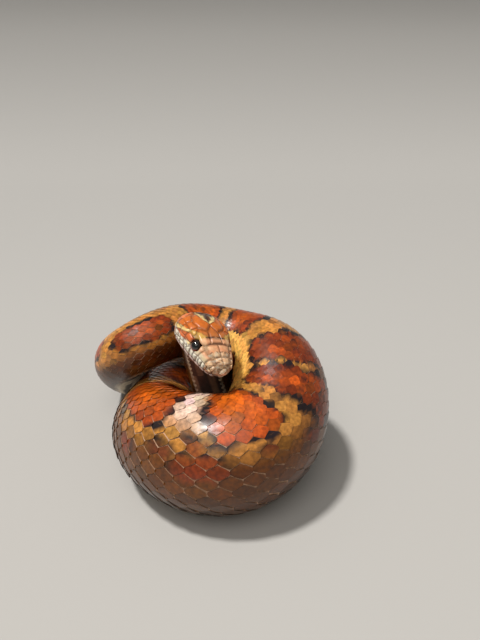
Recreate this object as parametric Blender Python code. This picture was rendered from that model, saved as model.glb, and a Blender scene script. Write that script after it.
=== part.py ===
"""Corn snake at rest in a coiled pile, life size: head, eyes, neck, body lengths and tail."""

import math

import bmesh
import bpy
import numpy as np

for old in list(bpy.data.objects):
    bpy.data.objects.remove(old, do_unlink=True)

# Driving dimensions in millimetres; MM turns them into metres.
MM = 0.001
SNOUT_START = 0.6
HEAD_END = 33.0
NECK_END = 76.0
TAIL_SHARE = 0.15
BODY_LENGTHS = 10
NODE_GAP = 0.3
BODY_SIDES = 22
RING_STEP = 4.0
BELLY_FLATNESS = 0.95
FLOOR_SINK = 0.6
STRAND_CLEARANCE = 1.6
BEND_LIMIT = 0.8
WIDEST_HALF = 22.7
BELLY_PLATE_HALF_ANGLE = 42.0
BELLY_PLATE_LENGTH = 5.6
BELLY_PLATE_RISE = 0.5
BELLY_STEP_RUN = 0.35
EYE_RADIUS = 2.35
EYE_ALONG = 12.5
EYE_SIDE = 6.3
EYE_HEIGHT = 1.5
SOCKET_CLEARANCE = 0.3

# Places the middle of the body passes, snout to tail tip: x, y, z, thickness there, and how firmly
# it is held. A z of 0 stands for lying on the floor.
ROUTE = [
    (3.6, -2, 51, 12.8, 1), (1, 5.8, 52.6, 16, 1), (-1.8, 13.4, 54.2, 18, 1), (-4.6, 21, 55.6, 18.8, 1),
    (-7.4, 28.6, 56.6, 18.4, 1), (-9.4, 35, 53.4, 17.6, 0.6), (-8.2, 38.2, 45, 17.2, 0.3), (-3, 35.6, 35, 17.2, 0.2),
    (1.5, 32.2, 24.5, 17.3, 0.2), (5, 33, 12, 17.6, 0.2), (8, 41, 0, 18.2, 0.2), (14, 51, 0, 19, 0.1),
    (23, 59, 0, 20.5, 0.1), (28, 69, 0, 22.5, 0.1), (29, 76, 0, 25, 0.1), (19, 80, 0, 27.3, 0.1),
    (8, 79, 0, 29.3, 0.1), (-2, 72, 0, 30.8, 0.1), (-9, 61, 0, 31.6, 0.3), (-16, 50, 0, 32, 0.5),
    (-22, 38, 5, 32.4, 0.6), (-25, 26, 14, 34, 0.6), (-23, 12, 19, 38.5, 1),
    (-15.8, -0.4, 20.4, 42, 1), (-4, -8, 20.7, 45, 1), (8.5, -8.6, 20.7, 45.4, 1),
    (19.5, -1.8, 23.4, 44, 1), (26, 11.5, 29.3, 41.5, 1), (27, 25, 36, 38.5, 1), (19, 36, 41, 34, 1),
    (9, 45, 37.5, 30, 0.6), (-3, 53, 32, 27.5, 0.5), (-13, 50, 34, 26, 0.8), (-22, 39, 42, 24.5, 1),
    (-30.5, 32.5, 43, 23.8, 1), (-36, 40, 38.5, 23.3, 1), (-38, 51, 29, 23, 1),
    (-39, 63, 16, 22.8, 1), (-40.5, 75, 0, 22.8, 0.8), (-42, 87, 0, 22.8, 0.4), (-37, 98, 0, 22.7, 0.1),
    (-25, 107, 0, 22.4, 0.1), (-10, 109, 0, 21.8, 0.1), (12, 108, 0, 21, 0.1), (32, 105, 0, 19.8, 0.1),
    (45, 95, 0, 18.6, 0.1), (49, 80, 0, 17.4, 0.1), (49, 65, 0, 15.8, 0.1), (46, 50, 0, 13.8, 0.1),
    (41, 37, 0, 11.4, 0.1), (34, 26, 0, 8.8, 0.1), (26, 18, 0, 6.4, 0.1), (18, 14, 0, 4.6, 0.1),
    (10, 13, 0, 3.2, 0.1), (2, 15, 0, 2, 0.1),
]
# Where along the route the back rolls toward the animal's left: route place, degrees.
ROLL = [(0, 16), (3, 16), (7, 0), (20, 0), (22, 8), (24, 13), (26, 13), (28, 6), (30, 0)]
# Head sections: distance from the snout, half width, height of the crown, depth of the chin.
HEAD_SECTIONS = [
    (0.6, 2.5, 1.5, 1.4), (1.3, 3.9, 2.5, 2.4), (2.8, 5.1, 3.3, 3.5), (5.3, 6.3, 4.1, 4.8), (9.5, 7.6, 5.3, 6.2),
    (13.8, 8.8, 6.1, 7.2), (19, 10, 6.7, 7.8), (24.4, 10.6, 7.2, 8.2), (28.6, 10.4, 7.7, 8.4), (33, 9.5, 8.4, 8.6),
]


def smooth_route(points, per_span=24):
    """Centripetal Catmull-Rom curve through the points; further columns are carried along."""
    p = np.array(points, float)
    p = np.vstack([2 * p[0] - p[1], p, 2 * p[-1] - p[-2]])
    found = []
    for i in range(1, len(p) - 2):
        a, b, c, d = p[i - 1 : i + 3]
        knots = [0.0]
        for first, last in ((a, b), (b, c), (c, d)):
            knots.append(knots[-1] + math.sqrt(np.linalg.norm((last - first)[:3])))
        t0, t1, t2, t3 = knots
        t = np.linspace(t1, t2, per_span, endpoint=False)[:, None]
        ab = (t1 - t) / (t1 - t0) * a + (t - t0) / (t1 - t0) * b
        bc = (t2 - t) / (t2 - t1) * b + (t - t1) / (t2 - t1) * c
        cd = (t3 - t) / (t3 - t2) * c + (t - t2) / (t3 - t2) * d
        left = (t2 - t) / (t2 - t0) * ab + (t - t0) / (t2 - t0) * bc
        right = (t3 - t) / (t3 - t1) * bc + (t - t1) / (t3 - t1) * cd
        found.append((t2 - t) / (t2 - t1) * left + (t - t1) / (t2 - t1) * right)
    return np.vstack(found + [p[-2][None]])


def even(rows, step):
    """Rows spaced evenly along the curve of their first three columns, and the distances."""
    far = np.concatenate([[0], np.cumsum(np.linalg.norm(np.diff(rows[:, :3], axis=0), axis=1))])
    at = np.linspace(0, far[-1], int(round(far[-1] / step)) + 1)
    return np.stack([np.interp(at, far, column) for column in rows.T], 1), at


def averaged(rows, times):
    for _ in range(times):
        rows[1:-1] = rows[1:-1] * 0.5 + (rows[:-2] + rows[2:]) * 0.25
    return rows


def settle():
    """The resting centreline: strands are eased apart, evened out, held near the route and set on the floor."""
    rows = np.array([place + (i,) for i, place in enumerate(ROUTE)], float)
    rows, far = even(smooth_route(rows), RING_STEP)
    half = rows[:, 3] / 2
    hold = np.clip(rows[:, 4], 0, 1)[:, None] * 0.12
    wanted = rows[:, :3].copy()
    p = wanted.copy()
    low = BELLY_FLATNESS * half - FLOOR_SINK
    first, last = np.triu_indices(len(p), 1)
    apart = far[last] - far[first] > 1.35 * (half[first] + half[last])
    first, last = first[apart], last[apart]
    need = half[first] + half[last] + STRAND_CLEARANCE

    def pushed():
        away = p[last] - p[first]
        length = np.linalg.norm(away, axis=1)
        near = need > length
        push = away[near] / length[near][:, None] * (need - length)[near][:, None] / 2
        total = np.zeros_like(p)
        count = np.zeros(len(p))
        np.add.at(total, last[near], push)
        np.add.at(total, first[near], -push)
        np.add.at(count, last[near], 1)
        np.add.at(count, first[near], 1)
        return total / np.maximum(count, 1)[:, None]

    def stiffened(share):
        bend = np.zeros_like(p)
        bend[1:-1] = (p[:-2] + p[2:]) / 2 - p[1:-1]
        eased = np.zeros_like(p)
        eased[1:-1] = bend[1:-1] - 0.5 * (bend[:-2] + bend[2:])
        return share * eased

    for _ in range(600):
        p = p + pushed()
        p = p + stiffened(0.5)
        p = p + hold * (wanted - p)
        p[:, 2] = np.maximum(p[:, 2], low)
        for _ in range(3):
            link = p[1:] - p[:-1]
            length = np.linalg.norm(link, axis=1)[:, None]
            shift = link / length * (length - RING_STEP) * 0.25
            p[:-1] += shift
            p[1:] -= shift
    for _ in range(200):
        p = p + 1.6 * averaged(pushed(), 6)
        p = p + stiffened(0.35)
        p[:, 2] = np.maximum(p[:, 2], low)
    rows = averaged(np.column_stack([p, half, rows[:, 5]]), 3)
    rows, far = even(rows, RING_STEP)
    rows[:, 2] = np.maximum(rows[:, 2], BELLY_FLATNESS * rows[:, 3] - FLOOR_SINK)
    return rows, far


def back_direction(along, turn):
    """Which way the back faces at each place: upward where the body lies flat, carried along where it climbs."""
    up = np.array([0.0, 0.0, 1.0])
    facing = [up - along[0] * along[0][2]]
    for t in along[1:]:
        carried = facing[-1] - t * (facing[-1] @ t)
        upward = up - t * t[2]
        carried = carried / np.linalg.norm(carried) + 0.35 * (upward @ upward) * upward
        facing.append(carried / np.linalg.norm(carried))
    facing = averaged(np.array(facing), 3)
    facing -= along * np.sum(facing * along, axis=1)[:, None]
    facing /= np.linalg.norm(facing, axis=1)[:, None]
    side = np.cross(along, facing)
    return facing * np.cos(turn)[:, None] + side * np.sin(turn)[:, None]


LINE, FAR = settle()
ALONG = averaged(np.gradient(LINE[:, :3], axis=0), 1)
ALONG /= np.linalg.norm(ALONG, axis=1)[:, None]
ROLL_AT = np.interp(LINE[:, 4], [place for place, _ in ROLL], [math.radians(angle) for _, angle in ROLL])
BACK = back_direction(ALONG, averaged(ROLL_AT, 4))
LEFT = np.cross(ALONG, BACK)
BEND = averaged(np.gradient(ALONG, axis=0) / RING_STEP, 1)


def at(table, v):
    return np.stack([np.interp(v, FAR, column) for column in table.T], -1)


def lay(u, v, h):
    """Points of the body's own measures, side u, distance v from the snout and height h, set on the settled line."""
    reach = np.hypot(u, h) + 1e-9
    side, back = at(LEFT, v), at(BACK, v)
    out = (side * u[:, None] + back * h[:, None]) / reach[:, None]
    inward = np.maximum(np.sum(at(BEND, v) * out, axis=1), 1e-6)
    reach = (reach**-8 + (BEND_LIMIT / inward) ** -8) ** (-1 / 8)
    points = at(LINE[:, :3], v) + out * reach[:, None]
    points[:, 2] = np.maximum(points[:, 2], 0)
    return points * MM


def body_ring(v, rise=0.0, sides=BODY_SIDES):
    """One ring of the body; rise lifts the belly's share of it, as the hind edge of a belly plate stands."""
    turn = np.arange(sides) * 2 * math.pi / sides
    half = np.interp(v, FAR, LINE[:, 3])
    under = np.cos(turn) < -math.cos(math.radians(BELLY_PLATE_HALF_ANGLE))
    reach = half * (1 + np.where(under, rise / half, 0))
    h = reach * np.cos(turn)
    h[h < 0] *= BELLY_FLATNESS
    return lay(reach * np.sin(turn), np.full(sides, v), h)


def solid(name, rings, start=None, end=None):
    """One closed mesh over a run of rings, ended by a point where one is given."""
    bm = bmesh.new()
    loops = [[bm.verts.new(point) for point in ring] for ring in rings]
    for one, two in zip(loops, loops[1:]):
        for i in range(len(one)):
            j = (i + 1) % len(one)
            bm.faces.new((one[i], one[j], two[j], two[i]))
    for loop, tip in ((loops[0], start), (loops[-1], end)):
        if tip is None:
            bm.faces.new(loop)
            continue
        point = bm.verts.new(tip)
        for i in range(len(loop)):
            bm.faces.new((loop[i], loop[(i + 1) % len(loop)], point))
    bmesh.ops.recalc_face_normals(bm, faces=bm.faces)
    mesh = bpy.data.meshes.new(name)
    bm.to_mesh(mesh)
    bm.free()
    mesh.shade_smooth()
    mesh.set_sharp_from_angle(angle=math.radians(50))
    obj = bpy.data.objects.new(name, mesh)
    bpy.context.scene.collection.objects.link(obj)
    return obj


def plate_rings(start, end):
    """Rings in pairs: each belly plate starts low and ends at a raised hind edge over the next one."""
    count = max(2, int(round((end - start) / BELLY_PLATE_LENGTH)))
    edges = np.linspace(start, end, count + 1)
    rings = [body_ring(start)]
    for near, far in zip(edges, edges[1:]):
        size = np.interp(far, FAR, LINE[:, 3]) / WIDEST_HALF
        rings.append(body_ring(far - BELLY_STEP_RUN, BELLY_PLATE_RISE * max(size, 0.25)))
        rings.append(body_ring(far))
    return rings


def length_of(name, start, end):
    return solid(name, plate_rings(start + NODE_GAP / 2, end - NODE_GAP / 2))


def paint(obj, name, colour, roughness):
    material = bpy.data.materials.get(name)
    if material is None:
        material = bpy.data.materials.new(name)
        material.use_nodes = True
        shader = material.node_tree.nodes["Principled BSDF"]
        shader.inputs["Base Color"].default_value = (*colour, 1)
        shader.inputs["Roughness"].default_value = roughness
        shader.inputs["Metallic"].default_value = 0.0
    obj.data.materials.append(material)


# Head: a loft with a flat crown, full cheeks and a mouth line that dips at the gape.
HEAD_STEP = 1.0
SNOUT_ROUND = 0.3
MOUTH_TURN = 113.0
MOUTH_END = 24.0
MOUTH_DEPTH = 0.45
MOUTH_HALF_WIDTH = 3.0
CROWN_SQUARENESS = 0.72


def head_ring(v):
    rows = np.array(HEAD_SECTIONS)
    half, crown, chin = (np.interp(v, rows[:, 0], rows[:, i]) for i in (1, 2, 3))
    lip = MOUTH_TURN - 10.0 * max(0.0, v / MOUTH_END - 0.72)
    edge = [lip - MOUTH_HALF_WIDTH, lip, lip + MOUTH_HALF_WIDTH]
    upper = np.linspace(0, edge[0], 9)
    lower = np.linspace(edge[2], 180, 6)
    right = np.radians(np.concatenate([upper, [lip], lower]))
    turn = np.concatenate([right, -right[-2:0:-1]])
    square = CROWN_SQUARENESS + (1 - CROWN_SQUARENESS) * max(0.0, (v - 20.0) / (HEAD_END - 20.0))
    u = half * np.sign(np.sin(turn)) * np.abs(np.sin(turn)) ** (0.5 + square / 2)
    h = np.where(np.cos(turn) > 0, crown * np.abs(np.cos(turn)) ** square, -chin * np.abs(np.cos(turn)))
    dent = np.isclose(np.abs(turn), math.radians(lip)) & (v < MOUTH_END)
    shrink = np.where(dent, 1 - MOUTH_DEPTH / max(half, 1.5), 1)
    return lay(u * shrink, np.full(len(u), v), h * shrink)


head_places = [SNOUT_START + step for step in (0.0, 0.3, 0.7)]
head_places += list(np.arange(2.2, HEAD_END - 0.6, HEAD_STEP)) + [HEAD_END - NODE_GAP / 2]
snout_tip = lay(np.zeros(1), np.array([SNOUT_START - SNOUT_ROUND]), np.zeros(1))[0]
head = solid("head", [head_ring(v) for v in head_places], start=snout_tip)


def ball(name, u, v, h, radius, detail=3):
    """An eyeball, the socket cutter round it, or a nostril's pit, in one side of the head."""
    centre = lay(np.array([u]), np.array([v]), np.array([h]))[0]
    bm = bmesh.new()
    bmesh.ops.create_icosphere(bm, subdivisions=detail, radius=radius * MM)
    bmesh.ops.translate(bm, verts=bm.verts, vec=centre)
    mesh = bpy.data.meshes.new(name)
    bm.to_mesh(mesh)
    bm.free()
    mesh.shade_smooth()
    obj = bpy.data.objects.new(name, mesh)
    bpy.context.scene.collection.objects.link(obj)
    return obj


# Shields of the crown as side and distance from the snout; the frontal stands on the middle line, the rest in pairs.
SHIELD_RISE = 0.28
SHIELD_ROOT = 1.0
FRONTAL = [(-2.6, 10.2), (2.6, 10.2), (2.1, 15.3), (0, 18.0), (-2.1, 15.3)]
PAIRED_SHIELDS = [
    [(0.12, 2.2), (2.7, 2.6), (3.2, 4.6), (0.12, 5.0)],
    [(0.12, 5.25), (3.4, 4.8), (5.0, 6.4), (4.8, 9.5), (2.8, 9.9), (0.12, 9.9)],
    [(2.9, 10.2), (4.8, 9.9), (5.3, 12.0), (5.4, 14.6), (4.9, 16.8), (2.4, 15.3)],
    [(0.12, 18.4), (2.3, 15.7), (5.2, 17.5), (6.4, 19.6), (5.7, 23.3), (4.0, 26.1), (0.12, 26.5)],
]


def crown_height(u, v):
    rows = np.array(HEAD_SECTIONS)
    half, crown = (np.interp(v, rows[:, 0], rows[:, i]) for i in (1, 2))
    square = CROWN_SQUARENESS + (1 - CROWN_SQUARENESS) * max(0.0, (v - 20.0) / (HEAD_END - 20.0))
    sine = min(1.0, (abs(u) / half)) ** (1 / (0.5 + square / 2))
    return crown * math.sqrt(max(0.0, 1 - sine * sine)) ** square


def shield(corners):
    """A plate over the crown: its rim and two inner rings follow the head, its root is sunk into it."""
    rim = []
    for (u0, v0), (u1, v1) in zip(corners, corners[1:] + corners[:1]):
        rim += [(u0, v0), ((u0 + u1) / 2, (v0 + v1) / 2)]
    middle = (sum(u for u, _ in rim) / len(rim), sum(v for _, v in rim) / len(rim))
    rings = []
    for share, lift in ((1.0, -SHIELD_ROOT), (1.0, 0.6 * SHIELD_RISE), (0.9, SHIELD_RISE), (0.5, SHIELD_RISE)):
        u = np.array([middle[0] + share * (a - middle[0]) for a, _ in rim])
        v = np.array([middle[1] + share * (b - middle[1]) for _, b in rim])
        rings.append(lay(u, v, np.array([crown_height(a, b) + lift for a, b in zip(u, v)])))
    top = lay(np.array([middle[0]]), np.array([middle[1]]), np.array([crown_height(*middle) + SHIELD_RISE]))
    return solid("shield", rings, end=top[0])


shields = [shield(FRONTAL)]
for corners in PAIRED_SHIELDS:
    shields.append(shield(corners))
    shields.append(shield([(-u, v) for u, v in reversed(corners)]))
gathered = bpy.data.collections.new("shields")
bpy.context.scene.collection.children.link(gathered)
for one in shields:
    bpy.context.scene.collection.objects.unlink(one)
    gathered.objects.link(one)
join = head.modifiers.new("shields", "BOOLEAN")
join.operation = "UNION"
join.solver = "EXACT"
join.operand_type = "COLLECTION"
join.collection = gathered
with bpy.context.temp_override(object=head, active_object=head, selected_objects=[head]):
    bpy.ops.object.modifier_apply(modifier="shields")
for one in shields:
    bpy.data.objects.remove(one, do_unlink=True)
bpy.data.collections.remove(gathered)

# Nostrils: a small pit in each side of the snout.
NOSTRIL_ALONG = 2.9
NOSTRIL_SIDE = 4.95
NOSTRIL_HEIGHT = 1.1
NOSTRIL_RADIUS = 0.5


def cut_from_head(cutter, label):
    cutter.hide_render = True
    cutter.display_type = "WIRE"
    cut = head.modifiers.new(label, "BOOLEAN")
    cut.operation = "DIFFERENCE"
    cut.solver = "EXACT"
    cut.object = cutter


for label, side in (("left", 1), ("right", -1)):
    nostril = ball("nostril_cutter_" + label, side * NOSTRIL_SIDE, NOSTRIL_ALONG, NOSTRIL_HEIGHT, NOSTRIL_RADIUS, 2)
    cut_from_head(nostril, "nostril_" + label)
    eye = ball("eye_" + label, side * EYE_SIDE, EYE_ALONG, EYE_HEIGHT, EYE_RADIUS)
    paint(eye, "dark_eye", (0.02, 0.012, 0.01), 0.08)
    socket = ball("socket_cutter_" + label, side * EYE_SIDE, EYE_ALONG, EYE_HEIGHT, EYE_RADIUS + SOCKET_CLEARANCE)
    cut_from_head(socket, "socket_" + label)
paint(head, "head_shields", (0.46, 0.17, 0.06), 0.4)

# Neck, body and tail: lengths cut square across the settled line.
total = FAR[-1]
vent = total * (1 - TAIL_SHARE)
cuts = np.linspace(NECK_END, vent, BODY_LENGTHS + 1)
lengths = [length_of("neck", HEAD_END, NECK_END)]
for i in range(BODY_LENGTHS):
    lengths.append(length_of(f"body_{i + 1}", cuts[i], cuts[i + 1]))
middle = (vent + total) / 2
lengths.append(length_of("tail_1", vent, middle))
tip_places = np.linspace(middle + NODE_GAP / 2, total - 0.5, 14)
tip = at(LINE[:, :3], np.array([total]))[0] * MM + at(ALONG, np.array([total]))[0] * 1.2 * MM
lengths.append(solid("tail_2", [body_ring(v) for v in tip_places], end=tip))
for piece in lengths:
    paint(piece, "scaled_skin", (0.5, 0.14, 0.045), 0.38)

# The box of all pieces is centred over the origin.
corners = [vertex.co for obj in bpy.data.objects for vertex in obj.data.vertices if not obj.hide_render]
corners = np.array(corners)
middle_x, middle_y = (corners.min(axis=0) + corners.max(axis=0))[:2] / 2
for obj in bpy.data.objects:
    for vertex in obj.data.vertices:
        vertex.co.x -= middle_x
        vertex.co.y -= middle_y
print("length", round(float(total), 1), "centre", round(middle_x / MM, 3), round(middle_y / MM, 3))
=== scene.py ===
import math

import bmesh
import bpy
import numpy as np
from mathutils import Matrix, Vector


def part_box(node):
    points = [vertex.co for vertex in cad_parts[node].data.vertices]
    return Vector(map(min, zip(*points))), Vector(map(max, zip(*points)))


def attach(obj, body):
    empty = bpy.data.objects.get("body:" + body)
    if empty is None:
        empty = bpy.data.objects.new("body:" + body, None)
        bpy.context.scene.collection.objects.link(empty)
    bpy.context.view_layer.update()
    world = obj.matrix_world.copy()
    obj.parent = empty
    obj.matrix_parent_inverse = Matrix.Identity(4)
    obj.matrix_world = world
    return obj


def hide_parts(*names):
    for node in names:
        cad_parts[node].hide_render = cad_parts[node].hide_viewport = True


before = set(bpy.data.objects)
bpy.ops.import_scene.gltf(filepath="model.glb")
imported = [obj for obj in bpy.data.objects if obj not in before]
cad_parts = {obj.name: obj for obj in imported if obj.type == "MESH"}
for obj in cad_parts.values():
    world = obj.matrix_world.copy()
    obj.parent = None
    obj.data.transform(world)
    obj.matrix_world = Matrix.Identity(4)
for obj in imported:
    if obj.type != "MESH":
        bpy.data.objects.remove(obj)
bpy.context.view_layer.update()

# ---------------------------------------------------------------- Skin
# One unbroken skin from snout to tail tip over the flesh of every length: soft hide that shows only as thin
# lines between the scales. It follows the settled line of the body and lies below the coat of scales.
MM = 0.001
SNOUT_START = 0.6
SNOUT_ROUND = 0.3
HEAD_END = 33.0
LINE_STEP = 4.0
BELLY_FLATNESS = 0.95
FLOOR_SINK = 0.6
STRAND_CLEARANCE = 1.6
HOLD_SHARE = 0.12
EASING_ROUNDS = 600
PARTING_ROUNDS = 200
BEND_LIMIT = 0.8
EYE_SIDE = 6.3
EYE_ALONG = 12.5
EYE_HEIGHT = 1.5
NOSTRIL_ALONG = 2.9
NOSTRIL_HEIGHT = 1.1
SIGHT_ALONG = 11.7
SIGHT_HEIGHT = 2.6
CROWN_SQUARENESS = 0.72
MOUTH_TURN = 113.0
MOUTH_END = 24.0
# Places the middle of the body passes: x, y, z, thickness, hold.
ROUTE = [
    (3.6, -2, 51, 12.8, 1), (1, 5.8, 52.6, 16, 1), (-1.8, 13.4, 54.2, 18, 1), (-4.6, 21, 55.6, 18.8, 1),
    (-7.4, 28.6, 56.6, 18.4, 1), (-9.4, 35, 53.4, 17.6, 0.6), (-8.2, 38.2, 45, 17.2, 0.3),
    (-3, 35.6, 35, 17.2, 0.2),
    (1.5, 32.2, 24.5, 17.3, 0.2), (5, 33, 12, 17.6, 0.2), (8, 41, 0, 18.2, 0.2), (14, 51, 0, 19, 0.1),
    (23, 59, 0, 20.5, 0.1), (28, 69, 0, 22.5, 0.1), (29, 76, 0, 25, 0.1), (19, 80, 0, 27.3, 0.1),
    (8, 79, 0, 29.3, 0.1), (-2, 72, 0, 30.8, 0.1), (-9, 61, 0, 31.6, 0.3), (-16, 50, 0, 32, 0.5),
    (-22, 38, 5, 32.4, 0.6), (-25, 26, 14, 34, 0.6), (-23, 12, 19, 38.5, 1),
    (-15.8, -0.4, 20.4, 42, 1), (-4, -8, 20.7, 45, 1), (8.5, -8.6, 20.7, 45.4, 1),
    (19.5, -1.8, 23.4, 44, 1), (26, 11.5, 29.3, 41.5, 1), (27, 25, 36, 38.5, 1), (19, 36, 41, 34, 1),
    (9, 45, 37.5, 30, 0.6), (-3, 53, 32, 27.5, 0.5), (-13, 50, 34, 26, 0.8), (-22, 39, 42, 24.5, 1),
    (-30.5, 32.5, 43, 23.8, 1), (-36, 40, 38.5, 23.3, 1), (-38, 51, 29, 23, 1),
    (-39, 63, 16, 22.8, 1), (-40.5, 75, 0, 22.8, 0.8), (-42, 87, 0, 22.8, 0.4), (-37, 98, 0, 22.7, 0.1),
    (-25, 107, 0, 22.4, 0.1), (-10, 109, 0, 21.8, 0.1), (12, 108, 0, 21, 0.1), (32, 105, 0, 19.8, 0.1),
    (45, 95, 0, 18.6, 0.1), (49, 80, 0, 17.4, 0.1), (49, 65, 0, 15.8, 0.1), (46, 50, 0, 13.8, 0.1),
    (41, 37, 0, 11.4, 0.1), (34, 26, 0, 8.8, 0.1), (26, 18, 0, 6.4, 0.1), (18, 14, 0, 4.6, 0.1),
    (10, 13, 0, 3.2, 0.1), (2, 15, 0, 2, 0.1),
]
# Turn of the back about the line, in degrees, at a row of the route.
ROLL = [(0, 16), (3, 16), (7, 0), (20, 0), (22, 8), (24, 13), (26, 13), (28, 6), (30, 0)]
# Head: distance from the snout, half width, crown height and chin depth.
HEAD_SECTIONS = [
    (0.6, 2.5, 1.5, 1.4), (1.3, 3.9, 2.5, 2.4), (2.8, 5.1, 3.3, 3.5), (5.3, 6.3, 4.1, 4.8),
    (9.5, 7.6, 5.3, 6.2), (13.8, 8.8, 6.1, 7.2), (19, 10, 6.7, 7.8), (24.4, 10.6, 7.2, 8.2),
    (28.6, 10.4, 7.7, 8.4), (33, 9.5, 8.4, 8.6),
]


def smooth_route(points, per_span=24):
    """Centripetal Catmull-Rom curve through the points; further columns are carried along."""
    p = np.array(points, float)
    p = np.vstack([2 * p[0] - p[1], p, 2 * p[-1] - p[-2]])
    found = []
    for i in range(1, len(p) - 2):
        a, b, c, d = p[i - 1 : i + 3]
        knots = [0.0]
        for first, last in ((a, b), (b, c), (c, d)):
            knots.append(knots[-1] + math.sqrt(np.linalg.norm((last - first)[:3])))
        t0, t1, t2, t3 = knots
        t = np.linspace(t1, t2, per_span, endpoint=False)[:, None]

        def between(first, last, start, end):
            return (end - t) / (end - start) * first + (t - start) / (end - start) * last

        ab, bc, cd = between(a, b, t0, t1), between(b, c, t1, t2), between(c, d, t2, t3)
        found.append(between(between(ab, bc, t0, t2), between(bc, cd, t1, t3), t1, t2))
    return np.vstack(found + [p[-2][None]])


def even(rows, step):
    """Rows spaced evenly along the curve of their first three columns, and the distances."""
    far = np.concatenate([[0], np.cumsum(np.linalg.norm(np.diff(rows[:, :3], axis=0), axis=1))])
    at = np.linspace(0, far[-1], int(round(far[-1] / step)) + 1)
    return np.stack([np.interp(at, far, column) for column in rows.T], 1), at


def averaged(rows, times):
    for _ in range(times):
        rows[1:-1] = rows[1:-1] * 0.5 + (rows[:-2] + rows[2:]) * 0.25
    return rows


def settle():
    """The resting centreline: strands eased apart, evened out, held near the route, set on the floor."""
    rows = np.array([place + (i,) for i, place in enumerate(ROUTE)], float)
    rows, far = even(smooth_route(rows), LINE_STEP)
    half = rows[:, 3] / 2
    hold = np.clip(rows[:, 4], 0, 1)[:, None] * HOLD_SHARE
    wanted = rows[:, :3].copy()
    p = wanted.copy()
    low = BELLY_FLATNESS * half - FLOOR_SINK
    first, last = np.triu_indices(len(p), 1)
    apart = far[last] - far[first] > 1.35 * (half[first] + half[last])
    first, last = first[apart], last[apart]
    need = half[first] + half[last] + STRAND_CLEARANCE

    def pushed():
        away = p[last] - p[first]
        length = np.linalg.norm(away, axis=1)
        near = need > length
        push = away[near] / length[near][:, None] * (need - length)[near][:, None] / 2
        total = np.zeros_like(p)
        count = np.zeros(len(p))
        np.add.at(total, last[near], push)
        np.add.at(total, first[near], -push)
        np.add.at(count, last[near], 1)
        np.add.at(count, first[near], 1)
        return total / np.maximum(count, 1)[:, None]

    def stiffened(share):
        bend = np.zeros_like(p)
        bend[1:-1] = (p[:-2] + p[2:]) / 2 - p[1:-1]
        eased = np.zeros_like(p)
        eased[1:-1] = bend[1:-1] - 0.5 * (bend[:-2] + bend[2:])
        return share * eased

    for _ in range(EASING_ROUNDS):
        p = p + pushed()
        p = p + stiffened(0.5)
        p = p + hold * (wanted - p)
        p[:, 2] = np.maximum(p[:, 2], low)
        for _ in range(3):
            link = p[1:] - p[:-1]
            length = np.linalg.norm(link, axis=1)[:, None]
            shift = link / length * (length - LINE_STEP) * 0.25
            p[:-1] += shift
            p[1:] -= shift
    for _ in range(PARTING_ROUNDS):
        p = p + 1.6 * averaged(pushed(), 6)
        p = p + stiffened(0.35)
        p[:, 2] = np.maximum(p[:, 2], low)
    rows = averaged(np.column_stack([p, half, rows[:, 5]]), 3)
    rows, far = even(rows, LINE_STEP)
    rows[:, 2] = np.maximum(rows[:, 2], BELLY_FLATNESS * rows[:, 3] - FLOOR_SINK)
    return rows, far


def back_direction(along, turn):
    """Which way the back faces: upward where the body lies flat, carried along where it climbs."""
    up = np.array([0.0, 0.0, 1.0])
    facing = [up - along[0] * along[0][2]]
    for t in along[1:]:
        carried = facing[-1] - t * (facing[-1] @ t)
        upward = up - t * t[2]
        carried = carried / np.linalg.norm(carried) + 0.35 * (upward @ upward) * upward
        facing.append(carried / np.linalg.norm(carried))
    facing = averaged(np.array(facing), 3)
    facing -= along * np.sum(facing * along, axis=1)[:, None]
    facing /= np.linalg.norm(facing, axis=1)[:, None]
    side = np.cross(along, facing)
    return facing * np.cos(turn)[:, None] + side * np.sin(turn)[:, None]


LINE, FAR = settle()
ALONG = averaged(np.gradient(LINE[:, :3], axis=0), 1)
ALONG /= np.linalg.norm(ALONG, axis=1)[:, None]
ROLL_AT = np.interp(LINE[:, 4], [place for place, _ in ROLL], [math.radians(angle) for _, angle in ROLL])
BACK = back_direction(ALONG, averaged(ROLL_AT, 4))
LEFT = np.cross(ALONG, BACK)
BEND = averaged(np.gradient(ALONG, axis=0) / LINE_STEP, 1)
TOTAL = FAR[-1]


def at(table, v):
    return np.stack([np.interp(v, FAR, column) for column in table.T], -1)


def body_half(v):
    return np.interp(v, FAR, LINE[:, 3])


def head_section(v):
    """Half width, crown height, chin depth and squareness of the crown."""
    rows = np.array(HEAD_SECTIONS)
    side, crown, chin = (np.interp(v, rows[:, 0], rows[:, i]) for i in (1, 2, 3))
    square = CROWN_SQUARENESS + (1 - CROWN_SQUARENESS) * np.clip((v - 20.0) / (HEAD_END - 20.0), 0, 1)
    return side, crown, chin, square


def eased(t):
    t = np.clip(t, 0, 1)
    return t * t * (3 - 2 * t)


def head_share(v):
    """1 on the head, 0 on the body, easing over the nape."""
    return eased((38.0 - v) / 8.0)


def head_outline(turn, v):
    """Side and height of the head's surface at an angle round it."""
    side, crown, chin, square = head_section(v)
    sine, cosine = np.sin(turn), np.cos(turn)
    u = side * np.sign(sine) * np.abs(sine) ** (0.5 + square / 2)
    return u, np.where(cosine > 0, crown * np.abs(cosine) ** square, -chin * np.abs(cosine))


def outline(turn, v):
    """Side and height of the surface at an angle round the body (0 at the back, positive to its left)."""
    half, share = body_half(v), head_share(v)
    u_body = half * np.sin(turn)
    h_body = half * np.cos(turn) * np.where(np.cos(turn) < 0, BELLY_FLATNESS, 1)
    u_head, h_head = head_outline(turn, v)
    return u_head * share + u_body * (1 - share), h_head * share + h_body * (1 - share)


def off_line(u, v, h):
    """The way from the line to points of the body, in mm."""
    return at(LEFT, v) * u[:, None] + at(BACK, v) * h[:, None]


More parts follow.
